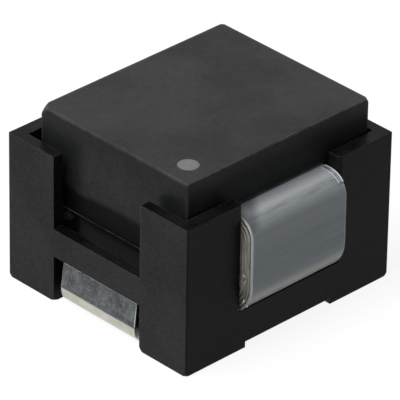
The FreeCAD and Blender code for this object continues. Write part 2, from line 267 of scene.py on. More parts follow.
# %% Grain: what the mould or the grinding wheel leaves
grain_group, given, put = start_group(
    "grain",
    [("Grains per metre", "NodeSocketFloat", 14000.0), ("Coarse share", "NodeSocketFloat", 0.3)],
    [("Height", "NodeSocketFloat"), ("Tone", "NodeSocketFloat")],
)
point = own_place(grain_group)
fine = noise_node(grain_group, point, given["Grains per metre"], 3.0, 0.6)
wide_scale = math_node(grain_group, "MULTIPLY", given["Grains per metre"], 0.22)
coarse = noise_node(grain_group, point, wide_scale, 2.0)
blend = grain_group.nodes.new("ShaderNodeMix")
grain_group.links.new(given["Coarse share"], blend.inputs["Factor"])
grain_group.links.new(fine, blend.inputs["A"])
grain_group.links.new(coarse, blend.inputs["B"])
grain_group.links.new(blend.outputs["Result"], put["Height"])
grain_group.links.new(steps_between(grain_group, blend.outputs["Result"], 0.3, 0.7), put["Tone"])
print("group:", grain_group.name)

# %% Patches: soft uneven areas
patch_group, given, put = start_group(
    "patches",
    [("Patches per metre", "NodeSocketFloat", 400.0), ("Shift", "NodeSocketFloat", 0.0)],
    [("Mask", "NodeSocketFloat")],
)
moved = patch_group.nodes.new("ShaderNodeVectorMath")
moved.operation = "ADD"
patch_group.links.new(own_place(patch_group), moved.inputs[0])
patch_group.links.new(given["Shift"], moved.inputs[1])
cloud = noise_node(patch_group, moved.outputs[0], given["Patches per metre"], 4.0, 0.55)
patch_group.links.new(steps_between(patch_group, cloud, 0.32, 0.68), put["Mask"])
print("group:", patch_group.name)

# %% Streaks: drawn out along the part's length
streak_group, given, put = start_group(
    "streaks",
    [("Streaks per metre", "NodeSocketFloat", 3000.0), ("Draw out", "NodeSocketFloat", 0.05)],
    [("Height", "NodeSocketFloat"), ("Mask", "NodeSocketFloat")],
)
parts = streak_group.nodes.new("ShaderNodeSeparateXYZ")
streak_group.links.new(own_place(streak_group), parts.inputs[0])
slow = math_node(streak_group, "MULTIPLY", parts.outputs["X"], given["Draw out"])
joined = streak_group.nodes.new("ShaderNodeCombineXYZ")
streak_group.links.new(slow, joined.inputs["X"])
streak_group.links.new(parts.outputs["Y"], joined.inputs["Y"])
streak_group.links.new(parts.outputs["Z"], joined.inputs["Z"])
drawn = noise_node(streak_group, joined.outputs[0], given["Streaks per metre"], 4.0, 0.6)
streak_group.links.new(drawn, put["Height"])
streak_group.links.new(steps_between(streak_group, drawn, 0.35, 0.65), put["Mask"])
print("group:", streak_group.name)

# %% Rubbed and lit edges: a bevel that only the shader sees, for wear and painted highlight
edge_group, given, put = start_group(
    "edge_wear_and_highlight",
    [("Width", "NodeSocketFloat", 0.00006), ("Breaks per metre", "NodeSocketFloat", 2500.0)],
    [("Mask", "NodeSocketFloat"), ("Normal", "NodeSocketVector")],
)
rounding = edge_group.nodes.new("ShaderNodeBevel")
rounding.samples = 8
edge_group.links.new(given["Width"], rounding.inputs["Radius"])
true_form = edge_group.nodes.new("ShaderNodeNewGeometry")
likeness = edge_group.nodes.new("ShaderNodeVectorMath")
likeness.operation = "DOT_PRODUCT"
edge_group.links.new(rounding.outputs["Normal"], likeness.inputs[0])
edge_group.links.new(true_form.outputs["True Normal"], likeness.inputs[1])
bend_seen = steps_between(edge_group, likeness.outputs["Value"], 0.998, 0.82)
breaks = noise_node(edge_group, own_place(edge_group), given["Breaks per metre"], 3.0, 0.7)
kept = steps_between(edge_group, breaks, 0.38, 0.58, 0.25, 1.0)
edge_group.links.new(math_node(edge_group, "MULTIPLY", bend_seen, kept), put["Mask"])
edge_group.links.new(rounding.outputs["Normal"], put["Normal"])
print("group:", edge_group.name)

# %% Facing: which way a face looks
facing_group, given, put = start_group(
    "facing",
    [("From", "NodeSocketFloat", 0.75), ("To", "NodeSocketFloat", 0.95)],
    [
        ("Ends", "NodeSocketFloat"),
        ("Fronts", "NodeSocketFloat"),
        ("Top", "NodeSocketFloat"),
        ("Corners", "NodeSocketFloat"),
    ],
)
looks = facing_group.nodes.new("ShaderNodeSeparateXYZ")
own_normal = facing_group.nodes.new("ShaderNodeTexCoord").outputs["Normal"]
facing_group.links.new(own_normal, looks.inputs[0])
squarest = 0.0
for axis, output in (("X", "Ends"), ("Y", "Fronts"), ("Z", None)):
    size = math_node(facing_group, "ABSOLUTE", looks.outputs[axis])
    share = steps_between(facing_group, size, given["From"], given["To"])
    squarest = math_node(facing_group, "MAXIMUM", share, squarest)
    if output:
        facing_group.links.new(share, put[output])
upward = steps_between(facing_group, looks.outputs["Z"], given["From"], given["To"])
facing_group.links.new(upward, put["Top"])
facing_group.links.new(math_node(facing_group, "SUBTRACT", 1.0, squarest), put["Corners"])
print("group:", facing_group.name)

# %% [markdown]
# ## Materials
# A material is a Principled shader with these effects plugged into it. A few helpers keep the
# cells short: they start a material, place a shared effect, mix two colours, let a value vary by a
# mask and raise the surface.

# %% Helpers for materials
def start_material(name):
    """New material, its node tree and its shader."""
    material = bpy.data.materials.new(name)
    material.use_nodes = True
    return material, material.node_tree, material.node_tree.nodes["Principled BSDF"]


def place_effect(tree, group, **values):
    """Shared effect placed in a material with its own values."""
    node = tree.nodes.new("ShaderNodeGroup")
    node.node_tree = group
    for title, value in values.items():
        node.inputs[title.replace("_", " ")].default_value = value
    return node.outputs


def mix_colours(tree, mask, first, second):
    """Colour between two colours or sockets, by a mask."""
    node = tree.nodes.new("ShaderNodeMix")
    node.data_type = "RGBA"
    tree.links.new(mask, node.inputs["Factor"])
    for place, value in ((6, first), (7, second)):
        if isinstance(value, tuple):
            node.inputs[place].default_value = (*value, 1.0)
        else:
            tree.links.new(value, node.inputs[place])
    return node.outputs[2]


def vary(tree, mask, low, high, socket):
    """Let a socket go smoothly from one value to another by a mask."""
    tree.links.new(steps_between(tree, mask, 0.0, 1.0, low, high), socket)


def raise_surface(tree, shader, height, depth, strength=1.0, edges=None):
    """Bump from a height, in metres, over edges that are rounded if they are given."""
    node = tree.nodes.new("ShaderNodeBump")
    node.inputs["Strength"].default_value = strength
    node.inputs["Distance"].default_value = depth
    tree.links.new(height, node.inputs["Height"])
    if edges:
        tree.links.new(edges["Normal"], node.inputs["Normal"])
    tree.links.new(node.outputs["Normal"], shader.inputs["Normal"])


def weigh(tree, *shares):
    """Sum of masks, each times its own share."""
    total = 0.0
    for mask, share in shares:
        total = math_node(tree, "ADD", math_node(tree, "MULTIPLY", mask, share), total)
    return total


def own_axes(tree):
    """The point on the object as three numbers, in metres."""
    node = tree.nodes.new("ShaderNodeSeparateXYZ")
    tree.links.new(own_place(tree), node.inputs[0])
    return node.outputs


def finish_node(name, material):
    """Give a carried-over solid its finish."""
    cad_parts[name].material_slots[0].material = material


print("solids to finish:", len(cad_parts))

# %% [markdown]
# ### Black moulded plastic
# The header is a glass-filled plastic that stands the heat of soldering. Its end walls come from
# the polished part of the mould and pick up the white of the table. The other faces keep a fine
# matt grain. The faces that look up are painted darker in patches: painted shade for the shadow of
# the core on the ledges. The edges are lighter, partly rubbed wear and partly painted highlight. A
# clear coat that a mask turns on only for the end walls gives them their gloss.

# %% Make the moulded plastic
header_plastic, tree, shader = start_material("moulded_plastic")
grain = place_effect(tree, grain_group, Grains_per_metre=19000.0, Coarse_share=0.15)
patches = place_effect(tree, patch_group, Patches_per_metre=350.0, Shift=1.0)
edges = place_effect(tree, edge_group, Width=0.00006, Breaks_per_metre=1800.0)
facing = place_effect(tree, facing_group, From=0.75, To=0.95)
tone = weigh(tree, (grain["Tone"], 0.80), (patches["Mask"], 0.20))
body_colour = mix_colours(tree, tone, (0.0010, 0.0018, 0.0011), (0.0165, 0.0180, 0.0168))
# Painted shade: the faces that look up are darkened in patches, for the core's shadow on the
# ledges.
ledge_shade_share = steps_between(tree, patches["Mask"], 0.1, 0.9, 0.65, 0.15)
painted_ledge_shade = math_node(tree, "MULTIPLY", facing["Top"], ledge_shade_share)
shaded = mix_colours(tree, painted_ledge_shade, body_colour, (0.0010, 0.0012, 0.0010))
# Lighter edges: partly rubbed wear, partly painted highlight.
with_worn_lit_edges = mix_colours(tree, edges["Mask"], shaded, (0.070, 0.070, 0.068))
tree.links.new(with_worn_lit_edges, shader.inputs["Base Color"])
vary(tree, tone, 0.24, 0.38, shader.inputs["Roughness"])
shader.inputs["Specular IOR Level"].default_value = 0.052
shader.inputs["Coat Roughness"].default_value = 0.34
uneven_gloss = steps_between(tree, tone, 0.0, 1.0, 0.05, 0.34)
gloss = math_node(tree, "MULTIPLY", facing["Ends"], uneven_gloss)
tree.links.new(gloss, shader.inputs["Coat Weight"])
raise_surface(tree, shader, grain["Height"], 0.012 * mm, 0.6, edges)
finish_node("header", header_plastic)
print("finished:", header_plastic.name)

# %% [markdown]
# ### Ferrite
# Ferrite is a pressed and fired ceramic powder. Its top and its ends are ground to a satin face, so
# they carry a thin gloss, while the front and rear stay as they came from the kiln. In a band above
# the lower edge, the ends have no gloss, and on the upper half they are darker. Sharp edges,
# rounded corners and the parting line are lighter, partly chipped ferrite and partly painted
# highlight. The upper half carries one printed dot, which marks the start of the winding. The lower
# half and the centre bar sit in shade, so their copy of the ferrite has lighter colours, as painted
# light.

# %% Make the ferrite
core_low, core_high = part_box("upper_core")
band_height = 1.30 * mm
band_level = core_low.z + band_height


def make_ferrite(name, dark, light, band_colour, dot_centre=None, dot_radius=0.0):
    """Mottled ceramic, with a printed dot on its top if a centre is given."""
    material, tree, shader = start_material(name)
    grain = place_effect(tree, grain_group, Grains_per_metre=11000.0, Coarse_share=0.3)
    patches = place_effect(tree, patch_group, Patches_per_metre=260.0, Shift=3.0)
    edges = place_effect(tree, edge_group, Width=0.00030, Breaks_per_metre=1500.0)
    facing = place_effect(tree, facing_group, From=0.75, To=0.95)
    tone = weigh(tree, (grain["Tone"], 0.60), (patches["Mask"], 0.40))
    body_colour = mix_colours(tree, tone, dark, light)
    play = steps_between(tree, tone, 0.0, 1.0, 0.50, 1.0)
    # Rounded corners are lighter: partly chipped ferrite, partly painted highlight.
    chip_and_highlight_share = steps_between(tree, patches["Mask"], 0.15, 0.75, 0.35, 1.0)
    rounded = math_node(tree, "MULTIPLY", facing["Corners"], chip_and_highlight_share)
    with_worn_lit_corners = mix_colours(tree, rounded, body_colour, (0.075, 0.077, 0.073))
    # Lighter edges: partly rubbed wear, partly painted highlight.
    with_worn_lit_edges = mix_colours(tree, edges["Mask"], with_worn_lit_corners, (0.092, 0.093, 0.088))
    above = math_node(tree, "SUBTRACT", own_axes(tree)["Z"], core_low.z)
    # A lighter line along the parting edge: partly chipped ferrite, partly painted highlight.
    at_parting = math_node(tree, "LESS_THAN", math_node(tree, "ABSOLUTE", above), 0.055 * mm)
    parting_edge_light = math_node(tree, "MULTIPLY", at_parting, chip_and_highlight_share)
    wavy = steps_between(tree, patches["Mask"], 0.0, 1.0, -0.12 * mm, 0.12 * mm)
    height = math_node(tree, "ADD", own_axes(tree)["Z"], wavy)
    ground = steps_between(tree, height, band_level - 0.26 * mm, band_level + 0.22 * mm)
    fading = steps_between(tree, height, core_high.z - 2.6 * mm, core_high.z, 1.0, 0.62)
    ground_end = math_node(tree, "MULTIPLY", facing["Ends"], ground)
    end_gloss = math_node(tree, "MULTIPLY", ground_end, fading)
    near_top = steps_between(tree, height, core_high.z - 1.2 * mm, core_high.z)
    front_gloss = math_node(tree, "MULTIPLY", facing["Fronts"], near_top)
    shares = weigh(tree, (facing["Top"], 0.375), (end_gloss, 0.335), (front_gloss, 0.15))
    gloss = math_node(tree, "MULTIPLY", shares, play)
    # In a band above the lower edge, the end faces take the band colour and have no gloss.
    dark_end_band = math_node(tree, "SUBTRACT", facing["Ends"], ground_end)
    banded = mix_colours(tree, dark_end_band, with_worn_lit_edges, band_colour)
    colour = mix_colours(tree, parting_edge_light, banded, (0.330, 0.325, 0.300))
    if dot_centre is not None:
        apart = tree.nodes.new("ShaderNodeVectorMath")
        apart.operation = "DISTANCE"
        apart.inputs[1].default_value = dot_centre
        tree.links.new(own_place(tree), apart.inputs[0])
        ragged = steps_between(tree, grain["Height"], 0.3, 0.7, -0.03 * mm, 0.03 * mm)
        edge = math_node(tree, "ADD", apart.outputs["Value"], ragged)
        ink = steps_between(tree, edge, dot_radius, dot_radius - 0.05 * mm)
        worn_ink = steps_between(tree, grain["Tone"], 0.0, 1.0, 0.70, 0.95)
        inked = math_node(tree, "MULTIPLY", ink, worn_ink)
        colour = mix_colours(tree, inked, colour, (0.20, 0.20, 0.205))
    tree.links.new(colour, shader.inputs["Base Color"])
    vary(tree, tone, 0.40, 0.60, shader.inputs["Roughness"])
    tree.links.new(gloss, shader.inputs["Coat Weight"])
    shader.inputs["Coat Roughness"].default_value = 0.32
    shader.inputs["Specular IOR Level"].default_value = 0.044
    raise_surface(tree, shader, grain["Height"], 0.010 * mm, 0.5, edges)
    return material


print("dull band in mm:", round(band_height / mm, 2))

# %% Finish the ferrite pieces
dot_inset = 1.35 * mm
dot_place = Vector((core_low.x + dot_inset, core_low.y + dot_inset, core_high.z))
# Painted light: the lower half and the centre bar sit in shade, so their copy of the ferrite gets
# lighter colours than the upper half.
lightened_ferrite = make_ferrite(
    "ferrite",
    dark=(0.022, 0.024, 0.022),
    light=(0.044, 0.047, 0.044),
    band_colour=(0.033, 0.035, 0.033),
)
marked_ferrite = make_ferrite(
    "ferrite_with_dot",
    dark=(0.0060, 0.0078, 0.0065),
    light=(0.0225, 0.0245, 0.0230),
    band_colour=(0.0030, 0.0032, 0.0030),
    dot_centre=dot_place,
    dot_radius=0.55 * mm,
)
finish_node("upper_core", marked_ferrite)
finish_node("lower_core", lightened_ferrite)
finish_node("centre_core", lightened_ferrite)
print("dot at", [round(value / mm, 2) for value in dot_place], "mm")

# %% [markdown]
# ### Films
# The roll is held by a film that has gone hazy, so what shows is a grey with a blue cast and long
# faint streaks, and not the colour of the foil under it. Its colour is painted paler on the bends
# and on the flat top, as painted light and sheen from above, and this painted sheen fades out below
# the top bend. The lower bend is painted paler too, as a painted reflection of the white floor. A
# small fold at the upper corner of the start side is painted as a darker tone, its painted shade,
# and it is duller there. The cut edges look milky, because light gets caught in them. A truly clear
# film would be slow and noisy to render at this thickness, so the haze is the base colour and the
# film's own gloss is a coat on top of it. Masks made from heights and lengths on the roll say where
# each tone goes.

# %% Mark the places on the wrapping film
wrap_low, wrap_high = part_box("outer_wrap")
fold_slant = 0.8
wrap_film, tree, shader = start_material("wrapping_film")
streaks = place_effect(tree, streak_group, Streaks_per_metre=2600.0, Draw_out=0.06)
patches = place_effect(tree, patch_group, Patches_per_metre=300.0, Shift=5.0)
scratches = place_effect(tree, streak_group, Streaks_per_metre=7000.0, Draw_out=0.16)
facing = place_effect(tree, facing_group, From=0.55, To=0.98)
level_part = place_effect(tree, facing_group, From=0.84, To=0.995)["Top"]
bent = math_node(tree, "SUBTRACT", 1.0, facing["Fronts"])
along_part = own_axes(tree)["X"]
level = own_axes(tree)["Z"]
start_rim = steps_between(tree, along_part, wrap_low.x + 0.15 * mm, wrap_low.x + 0.06 * mm)
finish_rim_low = wrap_high.x - 0.10 * mm
finish_rim_high = wrap_high.x - 0.03 * mm
finish_rim = steps_between(tree, along_part, finish_rim_low, finish_rim_high, 0.0, 0.3)
rim = math_node(tree, "MAXIMUM", start_rim, finish_rim)
# Painted reflection: the lower bend is paler for the white floor that it reflects.
floor_reflection_band = steps_between(tree, level, wrap_low.z + 1.80 * mm, wrap_low.z + 0.60 * mm)
fade_low = wrap_high.z - 2.20 * mm
fade_high = wrap_high.z - 1.00 * mm
# Painted sheen: the pale tone of the top bend fades out below it.
sheen_tail = steps_between(tree, level, fade_low, fade_high, 0.0, 0.90)
# Painted shade of a small fold: a slanting patch at the upper corner of the start side.
depth = math_node(tree, "SUBTRACT", own_axes(tree)["Y"], wrap_low.y)
slantwise = math_node(tree, "SUBTRACT", along_part, math_node(tree, "MULTIPLY", depth, fold_slant))
near_start = steps_between(tree, slantwise, wrap_low.x + 0.85 * mm, wrap_low.x + 0.05 * mm)
near_top = steps_between(tree, level, wrap_high.z - 0.95 * mm, wrap_high.z - 0.35 * mm, 0.0, 0.65)
folded = math_node(tree, "MULTIPLY", near_start, near_top)
print("wrapping in mm:", [round(side / mm, 2) for side in wrap_high - wrap_low])

# %% Colour the wrapping film
hazy = mix_colours(tree, streaks["Mask"], (0.120, 0.157, 0.179), (0.184, 0.220, 0.245))
clouded = mix_colours(tree, patches["Mask"], hazy, (0.156, 0.193, 0.218))
fading = mix_colours(tree, sheen_tail, clouded, (0.245, 0.273, 0.293))
# Painted sheen: the bends are painted paler for the light they catch.
painted_bend_sheen = mix_colours(tree, scratches["Mask"], (0.205, 0.222, 0.237), (0.285, 0.302, 0.316))
with_bend_sheen = mix_colours(tree, bent, fading, painted_bend_sheen)
# Painted light: the flat top is painted paler still, for the light from above.
with_top_light = mix_colours(tree, level_part, with_bend_sheen, (0.430, 0.455, 0.475))
# Painted shade of the fold.
with_fold_shade = mix_colours(tree, folded, with_top_light, (0.060, 0.072, 0.085))
# Painted reflection of the floor on the lower bend.
with_floor_reflection = mix_colours(tree, floor_reflection_band, with_fold_shade, (0.620, 0.615, 0.590))
rim_tone = mix_colours(tree, near_top, (0.86, 0.85, 0.81), (0.62, 0.62, 0.61))
tree.links.new(mix_colours(tree, rim, with_floor_reflection, rim_tone), shader.inputs["Base Color"])
print("coloured:", wrap_film.name)

# %% Give the wrapping film its gloss and wrinkles
vary(tree, scratches["Mask"], 0.34, 0.54, shader.inputs["Roughness"])
shader.inputs["Specular IOR Level"].default_value = 0.35
shader.inputs["Coat Roughness"].default_value = 0.33
film_gloss = steps_between(tree, scratches["Mask"], 0.0, 1.0, 0.35, 0.55)
unfolded = math_node(tree, "SUBTRACT", 1.0, folded)
tree.links.new(math_node(tree, "MULTIPLY", film_gloss, unfolded), shader.inputs["Coat Weight"])
wrinkles = weigh(tree, (streaks["Height"], 0.2), (scratches["Height"], 0.5))
raise_surface(tree, shader, wrinkles, 0.03 * mm, 0.7)
print("finished:", wrap_film.name)

# %% Make the film between the turns
interleaf, tree, shader = start_material("interleaf_film")
grain = place_effect(tree, grain_group, Grains_per_metre=9000.0, Coarse_share=0.5)
patches = place_effect(tree, patch_group, Patches_per_metre=1500.0, Shift=7.0)
milky = mix_colours(tree, patches["Mask"], (0.58, 0.565, 0.515), (0.86, 0.84, 0.78))
tree.links.new(milky, shader.inputs["Base Color"])
vary(tree, grain["Tone"], 0.35, 0.60, shader.inputs["Roughness"])
raise_surface(tree, shader, grain["Height"], 0.015 * mm, 0.5)
print("finished:", interleaf.name)

# %% [markdown]
# ### Foil
# The winding is copper. Only its slit edges can be seen, at the ends of the roll, where varnish
# and film dust leave them a dull beige grey. The faces between the turns keep their bright metal.
# Two materials would need two sets of faces, so one material does both: a mask made from the
# distance to the roll's middle turns the metal off at the slit edges.

# %% Make the foil
half_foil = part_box("foil_winding")[1].x
foil, tree, shader = start_material("copper_foil")
patches = place_effect(tree, patch_group, Patches_per_metre=1200.0, Shift=9.0)
streaks = place_effect(tree, streak_group, Streaks_per_metre=5000.0, Draw_out=0.1)
from_middle = math_node(tree, "ABSOLUTE", own_axes(tree)["X"])
slit = steps_between(tree, from_middle, half_foil - 0.020 * mm, half_foil - 0.005 * mm)
bright = mix_colours(tree, streaks["Mask"], (0.60, 0.34, 0.22), (0.80, 0.48, 0.33))
dull = mix_colours(tree, patches["Mask"], (0.56, 0.54, 0.49), (0.82, 0.80, 0.74))
tree.links.new(mix_colours(tree, slit, bright, dull), shader.inputs["Base Color"])
vary(tree, slit, 0.9, 0.0, shader.inputs["Metallic"])
vary(tree, patches["Mask"], 0.32, 0.55, shader.inputs["Roughness"])
raise_surface(tree, shader, streaks["Height"], 0.02 * mm, 0.5)
finish_node("foil_winding", foil)
print("foil is", round(2 * half_foil / mm, 2), "mm wide")

# %% [markdown]
# ### Tinned strip and solder
# Each terminal is copper strip dipped in tin. The flat tab is dull and mottled, with fine bright
# specks. The bend is painted far brighter than the tab, as a painted reflection of the white table
# that it catches at a grazing angle. The change is made by height, since the bend begins at a known
# level. The edges are painted near white, partly rubbed wear and partly painted highlight.

# %% Make the tinned strip
bend_height = 1.00 * mm
bend_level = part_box("start_terminal")[0].z + bend_height
tinned, tree, shader = start_material("tinned_strip")
patches = place_effect(tree, patch_group, Patches_per_metre=1100.0, Shift=11.0)
fine = place_effect(tree, grain_group, Grains_per_metre=20000.0, Coarse_share=0.30)
edges = place_effect(tree, edge_group, Width=0.00009, Breaks_per_metre=1500.0)
wander = steps_between(tree, patches["Mask"], 0.0, 1.0, -0.015 * mm, 0.015 * mm)
height = math_node(tree, "ADD", own_axes(tree)["Z"], wander)
# Painted reflection: the bend is painted far brighter than the tab, for the white table it reflects
# at a grazing angle.
bend_reflection_share = steps_between(tree, height, bend_level + 0.05 * mm, bend_level - 0.05 * mm)
dull = mix_colours(tree, patches["Mask"], (0.054, 0.062, 0.067), (0.108, 0.118, 0.123))
speck = steps_between(tree, fine["Height"], 0.50, 0.66)
specked = mix_colours(tree, speck, dull, (0.25, 0.26, 0.262))
bright = mix_colours(tree, patches["Mask"], (0.48, 0.470, 0.405), (0.60, 0.590, 0.520))
body_colour = mix_colours(tree, bend_reflection_share, specked, bright)
# Painted highlight: the edges are painted near white, partly as rubbed tin.
with_worn_lit_edges = mix_colours(tree, edges["Mask"], body_colour, (0.95, 0.94, 0.92))
tree.links.new(with_worn_lit_edges, shader.inputs["Base Color"])
vary(tree, fine["Tone"], 0.30, 0.44, shader.inputs["Roughness"])
shader.inputs["Metallic"].default_value = 0.85
raise_surface(tree, shader, fine["Height"], 0.02 * mm, 0.4, edges)
finish_node("start_terminal", tinned)
finish_node("finish_terminal", tinned)
finish_node("start_lead", tinned)
print("bend begins at", round(bend_level / mm, 2), "mm")

# %% Make the solder
solder, tree, shader = start_material("solder")
patches = place_effect(tree, patch_group, Patches_per_metre=1100.0, Shift=13.0)
grain = place_effect(tree, grain_group, Grains_per_metre=8000.0, Coarse_share=0.6)
dull = mix_colours(tree, patches["Mask"], (0.42, 0.42, 0.42), (0.62, 0.62, 0.61))
tree.links.new(dull, shader.inputs["Base Color"])
vary(tree, grain["Tone"], 0.22, 0.45, shader.inputs["Roughness"])
shader.inputs["Metallic"].default_value = 0.95
raise_surface(tree, shader, grain["Height"], 0.02 * mm, 0.5)
finish_node("start_solder", solder)
finish_node("finish_solder", solder)
print("finished:", solder.name)

# %% [markdown]
# ### Hidden insulation
# The tube between bar and foil, the spacers in the magnetic gap and the glue between the ferrite
# halves are hardly seen, but anyone who takes the part apart finds them. They get plain, true
# finishes: an amber tube, brown fibre spacers and a dark glue line.

# %% Make the tube, spacer and glue finishes
def make_plain_insulation(name, dark, light, roughness, grains):
    """Matt insulating material that varies between two colours."""
    material, tree, shader = start_material(name)
    grain = place_effect(tree, grain_group, Grains_per_metre=grains, Coarse_share=0.5)
    patches = place_effect(tree, patch_group, Patches_per_metre=grains / 12, Shift=15.0)
    tone = math_node(tree, "MULTIPLY", grain["Tone"], patches["Mask"])
    tree.links.new(mix_colours(tree, tone, dark, light), shader.inputs["Base Color"])
    vary(tree, tone, roughness, roughness + 0.2, shader.inputs["Roughness"])
    shader.inputs["Specular IOR Level"].default_value = 0.3
    raise_surface(tree, shader, grain["Height"], 0.015 * mm, 0.5)
    return material


amber = ((0.16, 0.10, 0.035), (0.26, 0.17, 0.06))
brown = ((0.20, 0.12, 0.06), (0.32, 0.21, 0.12))
dark_grey = ((0.035, 0.034, 0.032), (0.055, 0.053, 0.050))
tube = make_plain_insulation("tube_film", *amber, roughness=0.35, grains=6000.0)
fibre = make_plain_insulation("spacer_fibre", *brown, roughness=0.60, grains=12000.0)
glue = make_plain_insulation("core_glue", *dark_grey, roughness=0.45, grains=9000.0)
finish_node("winding_tube", tube)
for end in ("start", "finish"):
    finish_node(end + "_gap_spacer", fibre)
    finish_node(end + "_core_bond", glue)
print("finished:", tube.name, fibre.name, glue.name)

# %% [markdown]
# ### Adhesive
# Black adhesive holds the core in the corners of the header. It cures to a dull black and lies in
# the shade behind the posts, so it is hardly lighter than the gap round it. A low specular level
# keeps it that dark, and soft patches in colour and roughness keep it from looking painted.

# %% Make the adhesive
adhesive, tree, shader = start_material("black_adhesive")
patches = place_effect(tree, patch_group, Patches_per_metre=1400.0, Shift=17.0)
grain = place_effect(tree, grain_group, Grains_per_metre=5000.0, Coarse_share=0.8)
black = mix_colours(tree, patches["Mask"], (0.004, 0.004, 0.004), (0.009, 0.009, 0.0085))
tree.links.new(black, shader.inputs["Base Color"])
vary(tree, patches["Mask"], 0.38, 0.60, shader.inputs["Roughness"])
shader.inputs["Specular IOR Level"].default_value = 0.03
raise_surface(tree, shader, grain["Height"], 0.03 * mm, 0.4)
print("finished:", adhesive.name)

# %% [markdown]
# ## The films of the roll
# A film is a ribbon that follows the roll's section: flat runs with round corners, one step out on
# the underside for each new turn. The ribbon is laid as a sheet of faces, a little uneven as real
# film is, and a solidify modifier gives it thickness. A curve with a bevel could follow the same
# path, but its edges couldn't wander, and the wandering edges are what make it look like film.

# %% Measure the roll's section
pitch = 0.22 * mm
step_half = 2.00 * mm
outer_top_radius = 1.10 * mm
radius_step = 0.10 * mm
outer_bottom_radius = 1.95 * mm


def section_at(turns_in, depth):
    """Levels and radii of one turn, counted inwards from the wrapping's outer face."""
    inward = turns_in * pitch + depth
    return SimpleNamespace(
        side=wrap_high.y - inward,
        top=wrap_high.z - inward,
        bottom=wrap_low.z + inward,
        top_radius=outer_top_radius - turns_in * radius_step - depth,
        bottom_radius=outer_bottom_radius - inward,
    )


outer = section_at(0, 0)
flat_front = outer.top - outer.bottom - outer.top_radius - outer.bottom_radius
print("flat front of the roll in mm:", round(flat_front / mm, 2))

# %% Walk straight and round
def walk_to(path, y, z, spacing=0.12 * mm):
    """Add evenly spaced points on a straight run."""
    start = path[-1]
    goal = Vector((0, y, z))
    pieces = max(1, round((goal - start).length / spacing))
    for number in range(1, pieces + 1):
        path.append(start.lerp(goal, number / pieces))


def walk_round(path, y, z, radius, first, last):
    """Add points on an arc between two angles in degrees."""
    pieces = max(4, round(abs(last - first) / 7.5))
    for number in range(1, pieces + 1):
        angle = math.radians(first + (last - first) * number / pieces)
        path.append(Vector((0, y + radius * math.cos(angle), z + radius * math.sin(angle))))


print("helpers ready:", walk_to.__name__, walk_round.__name__)

# %% Walk over and under one turn
def walk_over(path, turns_in, depth):
    """Up the front, over the top and down the rear of one turn."""
    turn = section_at(turns_in, depth)
    bend_y = turn.side - turn.top_radius
    bend_z = turn.top - turn.top_radius
    walk_to(path, -turn.side, bend_z)
    walk_round(path, -bend_y, bend_z, turn.top_radius, 180, 90)
    walk_to(path, bend_y, turn.top)
    walk_round(path, bend_y, bend_z, turn.top_radius, 90, 0)
    walk_to(path, turn.side, turn.bottom + turn.bottom_radius)


def walk_rear_corner(path, turn, last):
    """Down round the rear lower corner, as far as an angle in degrees."""
    bend_y = turn.side - turn.bottom_radius
    bend_z = turn.bottom + turn.bottom_radius
    walk_round(path, bend_y, bend_z, turn.bottom_radius, 0, last)


def walk_front_corner(path, turn):
    """From the step along the bottom and up round the front lower corner."""
    bend_y = turn.bottom_radius - turn.side
    bend_z = turn.bottom + turn.bottom_radius
    walk_to(path, -step_half, turn.bottom)
    walk_to(path, bend_y, turn.bottom)
    walk_round(path, bend_y, bend_z, turn.bottom_radius, 270, 180)


def walk_under(path, turns_in, depth):
    """Round the rear lower corner, one step out on the bottom and up to the front."""
    turn = section_at(turns_in, depth)
    walk_rear_corner(path, turn, -90)
    walk_to(path, step_half, turn.bottom)
    walk_front_corner(path, section_at(turns_in - 1, depth))


print("helpers ready:", walk_over.__name__, walk_under.__name__)

# %% Walk once round for the wrapping
wrap_overlap = 0.3 * mm
wrap_end_angle = -46
under_level = section_at(1, 0).bottom
wrap_path = [Vector((0, step_half + wrap_overlap, under_level))]
walk_to(wrap_path, step_half, under_level)
walk_front_corner(wrap_path, outer)
walk_over(wrap_path, 0, 0)
walk_rear_corner(wrap_path, outer, wrap_end_angle)
print("the wrapping follows", len(wrap_path), "points")

# %% Turn worked faces into an object
def make_object(name, shape, material):
    """Smooth object in the scene, from faces worked out in bmesh."""
    for face in shape.faces:
        face.smooth = True
    mesh = bpy.data.meshes.new(name)
    shape.to_mesh(mesh)
    shape.free()
    mesh.materials.append(material)
    piece = bpy.data.objects.new(name, mesh)
    bpy.context.scene.collection.objects.link(piece)
    return piece


print("helper ready:", make_object.__name__)

# %% Lay a ribbon along a path
def lay_ribbon(name, path, thickness, columns, shape, material):
    """Sheet of faces along a path; shape says where each column goes and how far it stands out."""
    sheet = bmesh.new()
    rows = []
    travelled = 0.0
    for number, place in enumerate(path):
        before = path[max(number - 1, 0)]
        after = path[min(number + 1, len(path) - 1)]
        along = (after - before).normalized()
        outward = Vector((0, -along.z, along.y))
        travelled += (place - before).length
        row = []
        for column in range(columns + 1):
            across, lift = shape(column / columns, travelled, place)
            row.append(sheet.verts.new(place + outward * lift + Vector((across, 0, 0))))
        rows.append(row)
    for low_row, high_row in zip(rows, rows[1:]):
        for column in range(columns):
            low_pair = low_row[column:column + 2]
            high_pair = high_row[column:column + 2]
            sheet.faces.new((*low_pair, *reversed(high_pair)))
    ribbon = make_object(name, sheet, material)
    solid = ribbon.modifiers.new("thickness", "SOLIDIFY")
    solid.thickness = thickness
    solid.offset = -1.0
    return ribbon


print("helper ready:", lay_ribbon.__name__)

# %% Two curves for uneven shapes
def ease(value, low, high):
    """Nought below low, one above high and smooth between."""
    share = min(max((value - low) / (high - low), 0.0), 1.0)
    return share * share * (3 - 2 * share)


def uneven(x, y, seed):
    """Smooth wandering number between about minus one and one."""
    return noise.noise(Vector((x, y, seed)))


print("halfway between:", ease(0.5, 0.0, 1.0))

